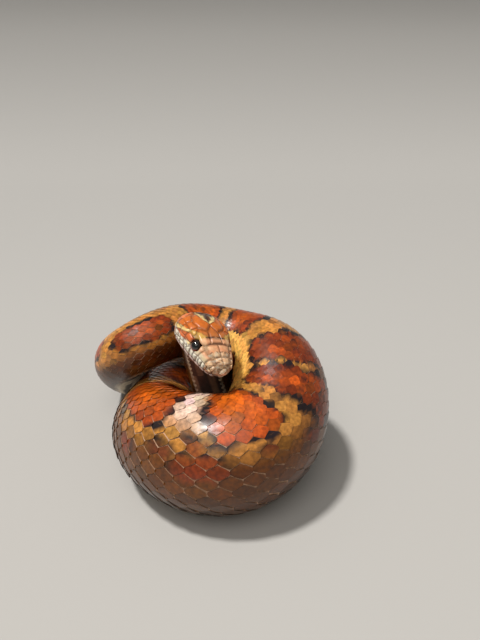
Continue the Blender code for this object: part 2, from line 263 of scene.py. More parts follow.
def set_on_line(u, v, h, rest=0.0):
    """Points in the body's own measures (mm) set on the settled line, in metres, not yet in the frame."""
    reach = np.hypot(u, h) + 1e-9
    out = off_line(u, v, h) / reach[:, None]
    inward = np.maximum(np.sum(at(BEND, v) * out, axis=1), 1e-6)
    reach = (reach**-8 + (BEND_LIMIT / inward) ** -8) ** (-1 / 8)
    points = at(LINE[:, :3], v) + out * reach[:, None]
    points[:, 2] = np.maximum(points[:, 2], rest)
    return points * MM


# The settled line is worked out about its own start; the frame's eye says where the frame has it.
eye_low, eye_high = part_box("eye_left")
eye_place = set_on_line(np.array([EYE_SIDE]), np.array([EYE_ALONG]), np.array([EYE_HEIGHT]))[0]
SHIFT = (np.array(eye_low) + np.array(eye_high)) / 2 - eye_place
SHIFT[2] = 0


def surface(turn, v, lift=0.0):
    """Points on the body's surface, raised by lift (mm); what would pass the floor is laid on it."""
    turn, v, lift = (np.ravel(values) for values in np.broadcast_arrays(turn, v, lift))
    u, h = outline(turn, v)
    reach = np.hypot(u, h)
    grown = np.maximum(reach + lift, 0.02) / reach
    return set_on_line(u * grown, v, h * grown, rest=np.maximum(0.02 - lift, 0.0)) + SHIFT


def stretch(turn, v):
    """How far the hide is drawn out there by the bend: 1 on the middle line, more outside a bend."""
    u, h = outline(turn, v)
    return 1 - np.sum(at(BEND, v) * off_line(u, v, h), axis=1)


def linear(r, g, b):
    """Display colour 0-255 to the scene's linear light."""
    c = np.array([r, g, b]) / 255.0
    return np.where(c <= 0.04045, c / 12.92, ((c + 0.055) / 1.055) ** 2.4)


def ripple(v, turn, pitch, kind=0.0):
    """A gentle uneven field between -1 and 1, the same on skin and scales."""
    a = v / pitch + kind
    b = turn * 3.1 + kind * 2.3
    swirl = np.sin(2.1 * a + 1.3 * np.sin(b))
    return (swirl + np.sin(1.27 * b - 1.9 * a + kind) + np.sin(3.7 * a + 2.9 * b)) / 3


def blend(a, b, share):
    return a + (b - a) * np.clip(share, 0, 1)[:, None]


def painted(colour, layers):
    """A ground colour under layers of paint, each with its share at each place."""
    for paint, share in layers:
        colour = blend(colour, paint, share)
    return colour


def stroke(off, width, fade=1.2):
    """1 along a drawn line, where off is 0, and 0 a little more than its width away."""
    return np.clip(fade - np.abs(off) / width, 0, 1)


def within(v, start, end, fade_in, fade_out):
    """1 between two places along the body, easing to 0 at both."""
    return eased((v - start) / fade_in) * eased((end - v) / fade_out)


# Markings, shared by skin and scales. Body: saddles down the back, edged in black, with tan between, small
# blotches on the flanks and a chequered belly. Angles here are in degrees from the back, plus to the left.
# Saddle: start, end, reach down the right and the left side, and how dark it is.
SEEN_SADDLES = [
    (215.5, 247.4, 60, 34, 0.25), (258.2, 280.8, 52, 35, 0.15), (288.5, 301.4, 36, 80, 0.75),
    (304.2, 316.4, 38, 80, 0.75), (328.0, 345.0, 42, 55, 0.6), (352.0, 370.0, 50, 55, 0.5),
    (379.0, 395.0, 60, -12, 0.6),
]
# Flank blotches of the front bend: start, end, middle, half reach, share of ink inside.
SEEN_SIDE = [
    (247.2, 252.0, 46, 8, 0.6), (253.7, 259.5, 37, 8, 0.35), (252.4, 263.4, 56, 12, 0.05),
    (270.7, 275.2, 45, 5, 0.5), (236.2, 241.2, 60, 8, 0.1), (282.7, 287.2, 66, 9, 0.3),
]
# Blots where the saddles' black edge swells: place, angle, reach in mm.
INK_SPOTS = [
    (246.6, -8, 1.9), (259.4, 10, 1.7), (260.6, 22, 1.8), (264.8, 34, 1.5), (281.8, 12, 1.5),
    (230.0, 41, 1.8), (285.6, -6, 1.5), (287.0, 14, 1.6), (302.6, -30, 1.5), (318.0, -34, 1.6),
]
BORDER = 1.15
FIRST_SADDLE = 62
BARE_TIP = 12
EVEN_DARK = 0.4
SIDE_BLOTCH = math.radians(84)
SIDE_BLOTCH_REACH = math.radians(15)


def all_saddles():
    """The saddles of the front bend and the strands over it, carried on to the neck and the tail."""
    found = list(SEEN_SADDLES)
    while found[0][0] > FIRST_SADDLE:
        half = body_half(found[0][0])
        end = found[0][0] - 0.30 * half - 3.5
        found.insert(0, (end - 0.55 * half - 5.5, end, 50, 50, EVEN_DARK))
    while found[-1][1] < TOTAL - BARE_TIP:
        half = body_half(found[-1][1])
        start = found[-1][1] + 0.32 * half + 2.2
        found.append((start, start + 0.62 * half + 4.5, 52, 52, EVEN_DARK))
    return found


SADDLES = all_saddles()


def blotch_distance(v, turn, start, end, middle, reach, half):
    """Distance in mm from the edge of a rounded blotch; negative inside."""
    reach_v, reach_t = (end - start) / 2, reach * half
    corner = min(reach_v, float(np.mean(reach_t))) * 0.55
    x = np.abs(v - (start + end) / 2) - (reach_v - corner)
    y = np.abs(turn - middle) * half - (reach_t - corner)
    outside = np.hypot(np.maximum(x, 0), np.maximum(y, 0))
    return outside + np.minimum(np.maximum(x, y), 0) - corner


def black_edge(width, thick, uneven, least, most):
    """Thickness of a marking's black edge in mm: uneven, and finer where the body is thin."""
    return width * (thick / 18) ** 0.7 * np.clip(uneven, least, most)


TAN, GOLD, PEACH_WITH_HIGHLIGHT = linear(178, 122, 62), linear(196, 130, 52), linear(240, 214, 200)
GOLD_WITH_PAINTED_LIGHT, SHADED_FLANK, SHADED_LOW_FLANK = linear(255, 196, 100), linear(96, 51, 10), linear(68, 37, 6)
SADDLE_RED, SADDLE_DARK, SADDLE_BRIGHT = linear(182, 78, 16), linear(110, 40, 12), linear(214, 104, 20)
INK, CREAM, BELLY_INK = linear(34, 24, 26), linear(212, 196, 170), linear(52, 46, 46)
BLOTCH_TAN, THROAT_PAINTED_SHADE = linear(128, 50, 18), linear(96, 64, 44)
PALEST_GAP = 252
NEAR_SADDLE = 6
NEAR_BLOTCH = 4


def body_markings(v, turn):
    """Colour of the body's coat: the ground, the saddles, the blotches of the sides and the blots."""
    half = body_half(v)
    side = np.abs(turn)
    wobble = ripple(v, turn, 5.0) * 0.05 * half + ripple(v, turn, 1.9, 3.0) * 0.02 * half
    # On top of the front bend the pale gap between saddles is the hide's own cream, painted paler still as a
    # painted highlight.
    peach_and_highlight = np.exp(-(((v - PALEST_GAP) / 6) ** 2)) * np.clip((0.42 - turn) / 0.35, 0, 1) * (side < 1.2)
    # On the side of the strands that faces the head the coat is painted bright gold: the hide's own gold,
    # brightened as painted light where the head's shade falls. There, and on a stretch further along, the
    # sides get less of the painted shade below.
    inner_side = within(v, 284, 348, 6, 10) * (turn < 0)
    golden = inner_side + 0.65 * within(v, 374, 414, 6, 8) * (turn < 0)
    ground = blend(TAN, GOLD, 0.6 + 0.4 * ripple(v, turn, 6.0, 5.0))
    colour = painted(ground, [
        (PEACH_WITH_HIGHLIGHT, 0.85 * peach_and_highlight),
        (GOLD_WITH_PAINTED_LIGHT, 0.85 * inner_side * eased((side - 0.5) / 0.4)),
        # Lower on the sides the coat is painted darker, first dark orange-brown and then umber: partly the
        # hide's own duller flank, partly painted shade on the sides turned from the light.
        (SHADED_FLANK, (side - 0.6 - 0.7 * golden) / 0.4),
        (SHADED_LOW_FLANK, (side - 1.35) / 0.6),
        (CREAM, (side - 2.25) / 0.35 * 0.8),
    ])
    for number, (start, end, right, left, dark) in enumerate(SADDLES):
        near = (v > start - NEAR_SADDLE) & (v < end + NEAR_SADDLE)
        if near.any():
            place, angle, thick = v[near], turn[near], half[near]
            middle, reach = math.radians(left - right) / 2, math.radians(left + right) / 2
            distance = blotch_distance(place, angle, start, end, middle, reach, thick) + wobble[near]
            uneven = ripple(place, angle, 3.4, 1.0 + number) + 0.5 * ripple(place, angle, 1.4, number)
            edge = black_edge(BORDER, thick, 0.6 + 0.75 * uneven, 0.16, 1.5)
            patchy = ripple(place, angle, 4.0, 2.0 + number)
            bright = np.clip(-distance / (0.3 * thick) - 0.4, 0, 1) * (0.75 - 0.4 * patchy) * (1 - dark)
            red = painted(SADDLE_RED, [
                (SADDLE_DARK, dark + 0.45 * patchy),
                (SADDLE_BRIGHT, bright),
                (INK, (ripple(place, angle, 1.1, 5.0) - 0.35) * 2.2 * dark),
            ])
            part = blend(colour[near], INK, stroke(distance, edge, 1.25) * 1.6)
            colour[near] = blend(part, red, -distance / edge * 1.8 - 0.9)
        # The sides carry a smaller blotch below each gap, except where the front bend shows its own.
        gap_end = SADDLES[number + 1][0] if number + 1 < len(SADDLES) else end + NEAR_SADDLE
        middle = (end + gap_end) / 2
        near = np.abs(v - middle) < 0.55 * (gap_end - end) + 9
        if near.any() and not (218 < end < 286 or 365 < end < 400):
            place, angle, thick = v[near], side[near], half[near]
            reach = max(3.5, 0.5 * (gap_end - end))
            spot = (middle - reach, middle + reach, SIDE_BLOTCH, SIDE_BLOTCH_REACH)
            distance = blotch_distance(place, angle, *spot, thick) + wobble[near]
            uneven = ripple(place, turn[near], 2.6, 4.0)
            edge = black_edge(0.8 * BORDER, thick, 0.7 + 0.7 * uneven, 0.15, 1.4)
            part = blend(colour[near], INK, stroke(distance, edge) * 1.1)
            colour[near] = blend(part, SADDLE_DARK, -distance / edge * 1.6 - 0.7)
    for start, end, middle, reach, ink in SEEN_SIDE:
        near = (v > start - NEAR_BLOTCH) & (v < end + NEAR_BLOTCH)
        if near.any():
            place, angle, thick = v[near], turn[near], half[near]
            middle, reach = math.radians(middle), math.radians(reach)
            distance = blotch_distance(place, angle, start, end, middle, reach, thick) + 0.6 * wobble[near]
            shadow = np.clip(0.7 - 0.7 * (angle - middle) / reach, 0, 1)
            shadow = shadow * np.clip(0.8 + 0.9 * ripple(place, angle, 2.2, 6.0), 0, 1)
            part = blend(colour[near], INK, stroke(distance, 0.9, 1.25) * shadow)
            inside = BLOTCH_TAN + (INK - BLOTCH_TAN) * ink
            colour[near] = blend(part, inside, np.clip(-distance / 1.1 * 1.5 - 0.3, 0, 1) * 0.85)
    for spot, angle, reach in INK_SPOTS:
        away = np.hypot(v - spot, (turn - math.radians(angle)) * half)
        colour = blend(colour, INK, stroke(away, reach, 1.5) * 0.95)
    return colour


def belly_colour(v, turn):
    """Cream belly with black blocks in uneven chequers; under the throat and neck it is painted dusky as
    painted shade.
    """
    half = body_half(v)
    cell = np.floor(v / (0.75 * half + 2.0))
    off_belly = np.abs(np.abs(turn) - math.pi)
    across = np.floor(off_belly / 0.30 + 0.37 * np.sin(cell * 2.4) + (turn > 0) * 1.3)
    dark = (np.sin(cell * 12.9898 + across * 78.233) * 43758.5453) % 1 > 0.6
    # Under the throat and neck the cream is painted dark brown: painted shade.
    ground = blend(CREAM, THROAT_PAINTED_SHADE, 0.9 * within(v, 26, 95, 8, 40))
    return blend(ground, BELLY_INK, dark * 0.85)


# Head: two orange lobes that meet on the crown, a cream stripe over each eye, a dark patch on the nape,
# a dark bar between the eyes, a pink snout with fine flecks and white lips barred in grey.
LOBE, LOBE_DULL, STRIPE = linear(214, 112, 38), linear(190, 114, 60), linear(240, 214, 146)
NAPE, MUSTARD, TEMPLE = linear(176, 110, 66), linear(212, 160, 70), linear(214, 112, 58)
SNOUT, SNOUT_PINK, FLECK = linear(246, 206, 160), linear(232, 152, 106), linear(92, 58, 42)
CHEEK, MOUTH_CREASE_SHADE = linear(214, 178, 116), linear(60, 38, 34)
LIP, LIP_BAR, JAW = linear(242, 236, 216), linear(66, 56, 54), linear(206, 184, 176)
FOREHEAD_END = 12.6
LOBES_MEET = 19.3
# Edges of the lobes, the band on the temple and the pale cheek: places along the head, angles at them.
LOBE_OUTER = [12.4, 14.3, 16.1, 18.9, 24.1, 34], [16, 28, 45, 64, 74, 76]
LOBE_INNER = [19.3, 21, 24, 27, 34], [0, 11, 19, 24, 24]
BAND_MIDDLE = [13.8, 16.5, 19, 24, 34], [68, 74, 85, 94, 99]
BAND_HALF = [13.8, 16.5, 19, 24, 34], [1.3, 1.75, 1.45, 1.1, 1.0]
CHEEK_TOP = [14.5, 24, 34], [86, 84, 84]
LIP_EDGES = [1.9, 3.9, 6.2, 8.8, 12.6, 16.0, 19.6, 23.2, 25.6]
LIP_BARS = [1.1, 2.1, 3.2, 4.6, 6.1, 7.5, 8.9, 10.4, 12.2, 14.2, 16.2, 18.6, 21.0, 23.4]
JAW_EDGES = [1.2, 2.7, 4.6, 6.9, 9.6, 12.8, 16.2, 19.6, 22.6, 24.6]


def lip_turn(v):
    """Angle of the mouth line, which dips toward its corner."""
    return np.radians(MOUTH_TURN - 10.0 * np.maximum(0.0, v / MOUTH_END - 0.72))


def soft_step(x, width):
    return np.clip(x / width + 0.5, 0, 1)


def nearest(v, marks):
    return np.min(np.abs(v[:, None] - np.array(marks)), 1)


def head_markings(v, turn):
    """Colour of the head, in layers from the crown down to the mouth."""
    side, crown = head_section(v)[:2]
    u, h = outline(turn, v)
    out, off_back, lip = np.abs(u), np.abs(turn), lip_turn(v)
    angle = np.degrees(off_back)
    arc = (side + crown) / 2 * math.pi / 180
    uneven = ripple(v, turn, 1.6, 1.0)
    fleck = ripple(v, turn, 0.62, 4.0) + 0.6 * ripple(v, turn * 2.3, 0.45, 7.0)
    # Lobes: distances in mm from their outer and inner edges.
    outer = (np.interp(v, *LOBE_OUTER) - angle) * arc + 0.15 * uneven
    inner = (angle - np.interp(v, *LOBE_INNER)) * arc + 0.12 * uneven
    inner = np.where(v < LOBES_MEET, 3.0, inner)
    brow = (v > 10.0) * (v < 17.0) * (out > 2.6) * (h > 3.2)
    layers = [
        (blend(LOBE, LOBE_DULL, 0.35 + 0.3 * uneven + (16.5 - v) / 5), (v > FOREHEAD_END) * 1.0),
        (blend(NAPE, INK, soft_step(-inner - 1.25 + 0.2 * uneven, 0.5) * 0.8),
         soft_step(-inner, 0.25) * (v > LOBES_MEET)),
        (STRIPE, 0.95 * (np.abs(inner + 0.75) < 0.5) * (v > 19.6)),
        (INK, 0.8 * stroke(inner, 0.22) * (v > LOBES_MEET)),
        (blend(STRIPE, MUSTARD, 0.25 + 0.35 * uneven), soft_step(-outer, 0.25) * (v > 12.4)),
        (INK, 0.85 * stroke(outer, 0.2, 1.15) * (v > 13)),
        (MUSTARD, brow * soft_step(-outer, 0.3) * 0.8),
    ]
    # Behind the eye an orange band edged in black runs to the corner of the mouth and onto the neck.
    off_band = np.abs(angle - np.interp(v, *BAND_MIDDLE)) * arc - np.interp(v, *BAND_HALF)
    behind = (v > 13.7) * 1.0
    layers += [
        (LIP, soft_step(angle - np.interp(v, *CHEEK_TOP), 4) * (v > 14.5)),
        (TEMPLE, soft_step(-off_band, 0.2) * behind),
        (INK, 0.85 * stroke(off_band, 0.26) * behind),
    ]
    # Forehead and snout.
    front = (v <= FOREHEAD_END) * (angle < 75)
    tip = painted(SNOUT, [
        (SNOUT_PINK, 0.2 + 0.3 * uneven),
        (FLECK, soft_step(fleck - 0.4, 0.3) * 0.75),
        (LIP, soft_step(-fleck - 0.4, 0.3) * 0.7),
    ])
    dash = stroke(v - 7.1, 0.28) * (out < 4.5) * (np.sin(u * 3.3 + 0.8) > -0.35)
    layers += [
        (blend(SNOUT_PINK, SNOUT, 0.3 + 0.4 * uneven), front * 1.0),
        (SNOUT, 0.6 * front * soft_step(out - 4.3, 0.5) * (v > 8.4)),
        (FLECK, 0.75 * stroke(v - 10.15, 0.3) * (out < 4.4) * front),
        (INK, 0.9 * stroke(v - 12.7, 0.5, 1.3) * (out < 4.2)),
        (tip, soft_step(7.0 - v, 0.3) * (angle < 100)),
        (FLECK * 0.6, dash * 0.85 * (angle < 70)),
    ]
    # Sides of the face, the lips with their bars, the jaw and the line of the mouth.
    pale = blend(LIP, CHEEK, 0.55 * soft_step(h - 1.1, 1.2) + 0.2 * uneven)
    pale = blend(pale, SNOUT_PINK, 0.8 * soft_step(h - 2.6, 0.8))
    rows = (off_back > math.radians(88)) & (off_back < lip)
    bars = stroke(nearest(v + 0.12 * (off_back - lip) * side, LIP_BARS), 0.36, 1.3)
    bars = bars * (v < 26) * soft_step(np.where(v < 3, -0.35, 0.5) - h, 0.8) * (off_back < lip)
    jaw = blend(JAW, CREAM, soft_step(np.degrees(off_back - lip) - 22, 12))
    near_lip = soft_step(np.degrees(lip - off_back) + 15, 5)
    jaw = blend(jaw, LIP_BAR * 0.6, stroke(nearest(v, JAW_EDGES), 0.42, 1.3) * near_lip * 0.85)
    return painted(LOBE_DULL, layers + [
        (pale, (v > 5.0) * (v < 13.7) * soft_step(3.3 - h, 0.6) * (h > -6)),
        (LIP, rows * (v > 4.6) * (v < 27) * 0.9),
        (LIP_BAR, bars * 0.85),
        (jaw, (off_back >= lip - 0.01) * (v < 27.0)),
        # The dark line along the mouth is painted shade in the crease between the jaws.
        (MOUTH_CREASE_SHADE, stroke((off_back - lip) * side, 0.25) * (v < MOUTH_END + 0.5) * 0.9),
    ])


def markings(v, turn):
    """Colour of the coat at each place."""
    colour = body_markings(v, turn)
    near = v < 40
    if near.any():
        head = head_markings(np.minimum(v[near], 34.0), turn[near])
        colour[near] = blend(colour[near], head, eased((39 - v[near]) / 7))
    return colour


def placed_object(name, data):
    """An object of a mesh, lamp or camera, put in the scene."""
    placed = bpy.data.objects.new(name, data)
    bpy.context.scene.collection.objects.link(placed)
    return placed


def coloured_mesh(name, bm_or_mesh, colours):
    """A mesh object from a bmesh or mesh, with one colour per vertex in the attribute Colour."""
    if isinstance(bm_or_mesh, bmesh.types.BMesh):
        mesh = bpy.data.meshes.new(name)
        bm_or_mesh.to_mesh(mesh)
        bm_or_mesh.free()
    else:
        mesh = bm_or_mesh
    layer = mesh.color_attributes.new("Colour", "FLOAT_COLOR", "POINT")
    flat = np.ones((len(mesh.vertices), 4), np.float32)
    flat[:, :3] = np.clip(colours, 0, 1)
    layer.data.foreach_set("color", flat.ravel())
    mesh.shade_smooth()
    return placed_object(name, mesh)


def add_node(tree, kind, settings, feeds):
    """A node with some of its inputs set and others fed by another node's output."""
    node = tree.nodes.new(kind)
    for socket, value in settings.items():
        node.inputs[socket].default_value = value
    for socket, source in feeds.items():
        tree.links.new(source, node.inputs[socket])
    return node


def new_material(name, settings):
    """A material with some of its shader's inputs set; also its tree and the shader's inputs."""
    material = bpy.data.materials.new(name)
    material.use_nodes = True
    inputs = material.node_tree.nodes["Principled BSDF"].inputs
    for socket, value in settings.items():
        inputs[socket].default_value = value
    return material, material.node_tree, inputs


def own_marks(tree):
    """The colours that the piece's own markings give its surface."""
    marks = tree.nodes.new("ShaderNodeAttribute")
    marks.attribute_name = "Colour"
    return marks.outputs["Color"]


def hide_material(name, roughness, bump, grain, coat=0.0, subsurface=0.0, mottle=0.2):
    """Animal hide: its colour from the piece's own markings, fine grain in the gloss and the relief."""
    material, tree, inputs = new_material(name, {
        "Specular IOR Level": 0.25, "Coat Weight": coat, "Coat Roughness": 0.22,
        "Subsurface Weight": subsurface, "Subsurface Radius": (0.0012, 0.0005, 0.0003),
    })
    place = {"Vector": tree.nodes.new("ShaderNodeTexCoord").outputs["Object"]}
    fine = add_node(tree, "ShaderNodeTexNoise", {"Scale": grain, "Detail": 3.0}, place).outputs["Fac"]
    cloud = add_node(tree, "ShaderNodeTexNoise", {"Scale": grain / 5, "Detail": 5.0}, place).outputs["Fac"]
    clouding = {"From Min": 0.3, "From Max": 0.7, "To Min": 1 - mottle, "To Max": 1 + mottle}
    shade = add_node(tree, "ShaderNodeMapRange", clouding, {"Value": cloud})
    tinted = tree.nodes.new("ShaderNodeVectorMath")
    tinted.operation = "SCALE"
    tree.links.new(own_marks(tree), tinted.inputs[0])
    tree.links.new(shade.outputs["Result"], tinted.inputs["Scale"])
    tree.links.new(tinted.outputs["Vector"], inputs["Base Color"])
    rough = {"To Min": roughness - 0.07, "To Max": roughness + 0.09}
    gloss = add_node(tree, "ShaderNodeMapRange", rough, {"Value": fine})
    tree.links.new(gloss.outputs["Result"], inputs["Roughness"])
    relief = add_node(tree, "ShaderNodeBump", {"Strength": bump, "Distance": 0.0001}, {"Height": fine})
    tree.links.new(relief.outputs["Normal"], inputs["Normal"])
    return material


# The row pitch of the scales decides how deep the skin lies: place along the body, rows of scales there.
ROWS_OF_PLACE = [
    (0, 27), (176, 27), (177, 29), (350, 29), (351, 27), (420, 27), (421, 25),
    (460, 23), (510, 21), (560, 19), (570, 17), (608, 13), (636, 9), (664, 7),
]
BELLY_HALF_ANGLE = math.radians(34)


def rows_at(v):
    return np.interp(v, *zip(*ROWS_OF_PLACE))


def row_width(v):
    return body_half(v) * 2 * (math.pi - BELLY_HALF_ANGLE) / rows_at(v)


SOCKET_REACH, SOCKET_DEPTH = 2.45, 1.9
NOSTRIL_REACH, NOSTRIL_DEPTH = 0.62, 0.7


def pit_depth(u, v, h):
    """How far the hide is sunk at the eye sockets and nostrils."""
    off_sight = np.hypot(v - SIGHT_ALONG, h - SIGHT_HEIGHT)
    off_nostril = np.hypot(v - NOSTRIL_ALONG, h - NOSTRIL_HEIGHT)
    eye = eased((SOCKET_REACH - off_sight) / 0.6) * SOCKET_DEPTH * (np.abs(u) > 3.5)
    return eye + eased((NOSTRIL_REACH - off_nostril) / 0.4) * NOSTRIL_DEPTH * (np.abs(u) > 2)


SKIN_ROUND = 96
HEAD_RINGS = 96
head_places = np.linspace(SNOUT_START, HEAD_END, HEAD_RINGS)
skin_places = np.concatenate([head_places, np.arange(HEAD_END + 1, TOTAL, 1.0), [TOTAL]])
bm = bmesh.new()
bmesh.ops.create_grid(bm, x_segments=len(skin_places) - 1, y_segments=SKIN_ROUND, size=1)
grid = np.array([vert.co for vert in bm.verts])
ring = np.clip(np.round((grid[:, 0] + 1) / 2 * (len(skin_places) - 1)).astype(int), 0, len(skin_places) - 1)
skin_v, skin_turn = skin_places[ring], grid[:, 1] * math.pi
skin_u, skin_h = outline(skin_turn, skin_v)
skin_pit = pit_depth(skin_u, skin_v, skin_h)
mouth = stroke((np.abs(skin_turn) - lip_turn(skin_v)) * skin_v, 4, 1.3) * (skin_v < MOUTH_END)
skin_drop = np.where(skin_v < 30, 0.14, 0.05 + 0.075 * row_width(skin_v)) + skin_pit + 0.3 * mouth
placed = surface(skin_turn, skin_v, -skin_drop)
for vert, co in zip(bm.verts, placed):
    vert.co = co
bmesh.ops.remove_doubles(bm, verts=bm.verts, dist=1e-7)
bmesh.ops.holes_fill(bm, edges=[edge for edge in bm.edges if edge.is_boundary], sides=0)
bmesh.ops.recalc_face_normals(bm, faces=bm.faces)
co = np.array([vert.co for vert in bm.verts])
from_grid = {tuple(np.round(p, 7)): i for i, p in enumerate(placed)}
order = np.array([from_grid.get(tuple(np.round(p, 7)), 0) for p in co])
SKIN_PALE, SKIN_DARK = linear(214, 172, 140), linear(96, 52, 34)
drawn = np.clip((stretch(skin_turn, skin_v) - 1.0) / 0.25, 0, 1) * (skin_v > 36)
skin_colours = blend(markings(skin_v, skin_turn) * 0.55 + SKIN_DARK * 0.2, SKIN_PALE, drawn * 0.9)
# The hide sunk in the eye sockets and nostrils is painted dark: painted shade in the pits.
skin_colours = blend(skin_colours, INK * 0.5, skin_pit / 0.4)
skin = coloured_mesh("skin", bm, skin_colours[order])
soft_skin = hide_material("soft_skin", roughness=0.5, bump=0.25, grain=5200, subsurface=0.05)
skin.data.materials.append(soft_skin)
FLESH = ["head", "neck"] + [f"body_{i}" for i in range(1, 11)] + ["tail_1", "tail_2"]
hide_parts(*FLESH)
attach(skin, "root")

# ---------------------------------------------------------------- Scales of the back and flanks
# Overlapping horny scales in staggered rows, each rooted at its front and free at its rounded hind tip.
# They are grown from the skin, smooth and slightly domed, with a thin clear outer layer that shines.
LEAF = [(0, -0.60), (0.22, -0.56), (0.42, -0.36), (0.62, -0.13), (0.72, 0.0), (0.62, 0.12), (0.42, 0.33),
        (0.22, 0.52), (0, 0.59)]
LEAF_LENGTH = 1.19
LEAF_HALF_WIDTH = 0.72
# Rings from the rim inward: inset before it, nearness to the middle and height, in row pitches.
LEAF_RINGS = [(0, 0.0, -0.13), (0.035, 0.25, -0.012), (0.10, 0.6, 0.0), (0.14, 0.85, 0.003)]


def form_data(form):
    """Places of a form's vertices and its faces' corners; the form is then freed."""
    form.verts.index_update()
    co = np.array([vert.co for vert in form.verts])
    faces = [[vert.index for vert in f.verts] for f in form.faces]
    form.free()
    return co, faces


def scale_form():
    """One scale: row pitches across, scale pitches along, height in row pitches; also how near the middle."""
    form = bmesh.new()
    points = LEAF + [(-x, y) for x, y in LEAF[-2:0:-1]]
    face = form.faces.new([form.verts.new((x, y, 0)) for x, y in points])
    rim = list(face.verts)
    found = {}
    for inset, near, height in LEAF_RINGS:
        if inset:
            bmesh.ops.inset_region(form, faces=[face], thickness=inset, depth=0)
        for vert in face.verts:
            found[vert] = near, height
    for vert in bmesh.ops.poke(form, faces=[face])["verts"]:
        found[vert] = 1.0, 0.004
    form.faces.new(list(reversed(rim)))
    for vert in form.verts:
        tilt = 0.115 * (vert.co.y + 0.6) / LEAF_LENGTH
        vert.co.z = found[vert][1] - 0.085 + tilt + 0.016 * (1 - (vert.co.x / LEAF_HALF_WIDTH) ** 2)
    bmesh.ops.recalc_face_normals(form, faces=form.faces)
    near = np.array([found[vert][0] for vert in form.verts])
    return *form_data(form), near


SCALE_CO, SCALE_FACES, SCALE_NEAR = scale_form()


def scale_pitch(v):
    """Length of one scale along the body, in mm, as it lies on the middle line."""
    return 0.17 * body_half(v) + 0.45


def columns(start, end):
    found = [start]
    while found[-1] < end:
        found.append(found[-1] + float(scale_pitch(found[-1])))
    return np.array(found)


def joined(name, co, form_faces, count, colours, bake_uv):
    """Many copies of one form as one mesh, with the bake layout: a small patch for each at its root."""
    loops = np.concatenate(form_faces)
    sizes = np.tile([len(f) for f in form_faces], count)
    corners = (loops + (np.arange(count) * (len(co) // count))[:, None]).ravel()
    mesh = bpy.data.meshes.new(name)
    mesh.vertices.add(len(co))
    mesh.vertices.foreach_set("co", co.astype(np.float32).ravel())
    mesh.loops.add(len(corners))
    mesh.loops.foreach_set("vertex_index", corners.astype(np.int32))
    mesh.polygons.add(len(sizes))
    starts = np.concatenate([[0], np.cumsum(sizes)[:-1]])
    mesh.polygons.foreach_set("loop_start", starts.astype(np.int32))
    mesh.polygons.foreach_set("loop_total", sizes.astype(np.int32))
    mesh.update(calc_edges=True)
    mesh.validate()
    layer = mesh.uv_layers.new(name="OFBake")
    layer.data.foreach_set("uv", bake_uv[corners].astype(np.float32).ravel())
    piece = coloured_mesh(name, mesh, colours)
    piece.data.set_sharp_from_angle(angle=math.radians(42))
    return piece


BAKE_SPAN, BAKE_EDGE = 0.96, 0.02


def bake_patches(v, turn, size):
    """Bake layout of scales: a patch for each at its root's distance along by its angle round."""
    root = np.stack([v / TOTAL * BAKE_SPAN + BAKE_EDGE, (turn / math.pi + 1) / 2 * 0.94 + 0.03], 1)
    return (root[:, None] + SCALE_CO[:, 1::-1] * size).reshape(-1, 2)


# Where the coat begins behind the head shields: angle from the back, distance along.
COAT_START = [0, 28, 34, 60, 76, 90, 112, 150], [27.7, 27.0, 25.4, 25.2, 25.6, 26.6, 26.6, 22.0]


def coat_places():
    """Root place of every scale: distance along, angle, scale pitch along, row pitch as an angle."""
    found = []
    span = math.pi - BELLY_HALF_ANGLE
    for v in columns(24.0, TOTAL - 3):
        count = int(round(rows_at(v)))
        count += 1 - count % 2
        pitch = float(scale_pitch(v))
        for j in range(count):
            x = (j - (count - 1) / 2) / (count / 2)
            turn = span * (0.93 * x + 0.07 * x**3)
            width = span * (0.93 + 0.21 * x * x) / (count / 2)
            at_v = v + (0.5 * pitch if j % 2 else 0.0)
            if at_v > np.interp(abs(math.degrees(turn)), *COAT_START):
                found.append((at_v, turn, pitch, width))
    found = np.array(found)
    return found[np.argsort(found[:, 0], kind="stable")]


PLACES = coat_places()
scatter = np.random.default_rng(7)
scale_horn = hide_material("scale_horn", roughness=0.33, bump=0.3, grain=3600, coat=0.42, mottle=0.36)
RIM_PALE_AND_SHEEN = linear(216, 174, 148)
SCALE_TRIANGLES = 150
GROUP_TRIANGLES = 195000
GROUPS = math.ceil(len(PLACES) * SCALE_TRIANGLES / GROUP_TRIANGLES)
